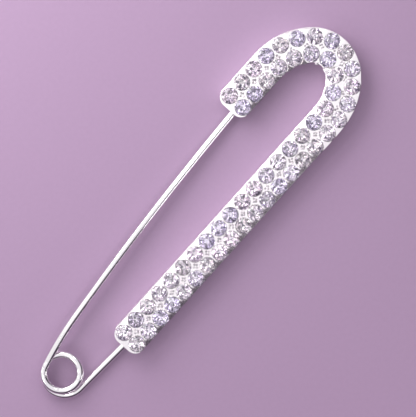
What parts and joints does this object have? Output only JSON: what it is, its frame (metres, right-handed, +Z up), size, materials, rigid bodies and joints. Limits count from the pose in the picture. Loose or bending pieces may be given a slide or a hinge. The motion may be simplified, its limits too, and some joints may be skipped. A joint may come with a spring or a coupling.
{
  "type": "safety pin brooch",
  "caption": "Jewelled safety pin brooch: a J-shaped pave setting of round cut stones, with a sprung needle that runs from a wire coil into a catch under the short arm.",
  "frame": {"origin": "middle of the brooch's box, at the surface that its back lies on", "axes": "+X from the coil towards the jewelled bend, +Y from the long leg towards the short arm, +Z up through the stones"},
  "size_m": [0.0764, 0.019, 0.0037],
  "materials": {
    "plated_casting": "polished rhodium plate",
    "crystal": "foil-backed clear crystal",
    "spring_wire": "polished plated steel wire"
  },
  "bodies": {
    "brooch": {"setting": "plated_casting", "outer_stones": "crystal", "inner_stones": "crystal", "coil_and_tail": "spring_wire"},
    "needle_body": {"needle": "spring_wire"}
  },
  "joints": [
    {"name": "needle_press", "type": "hinge", "parent": "brooch", "child": "needle_body", "pos_m": [-0.03397, -0.00202, 0.0017], "axis": [0, 0, 1], "range_deg": [-8, 0], "stiffness_Nm_per_rad": 0.05}
  ]
}
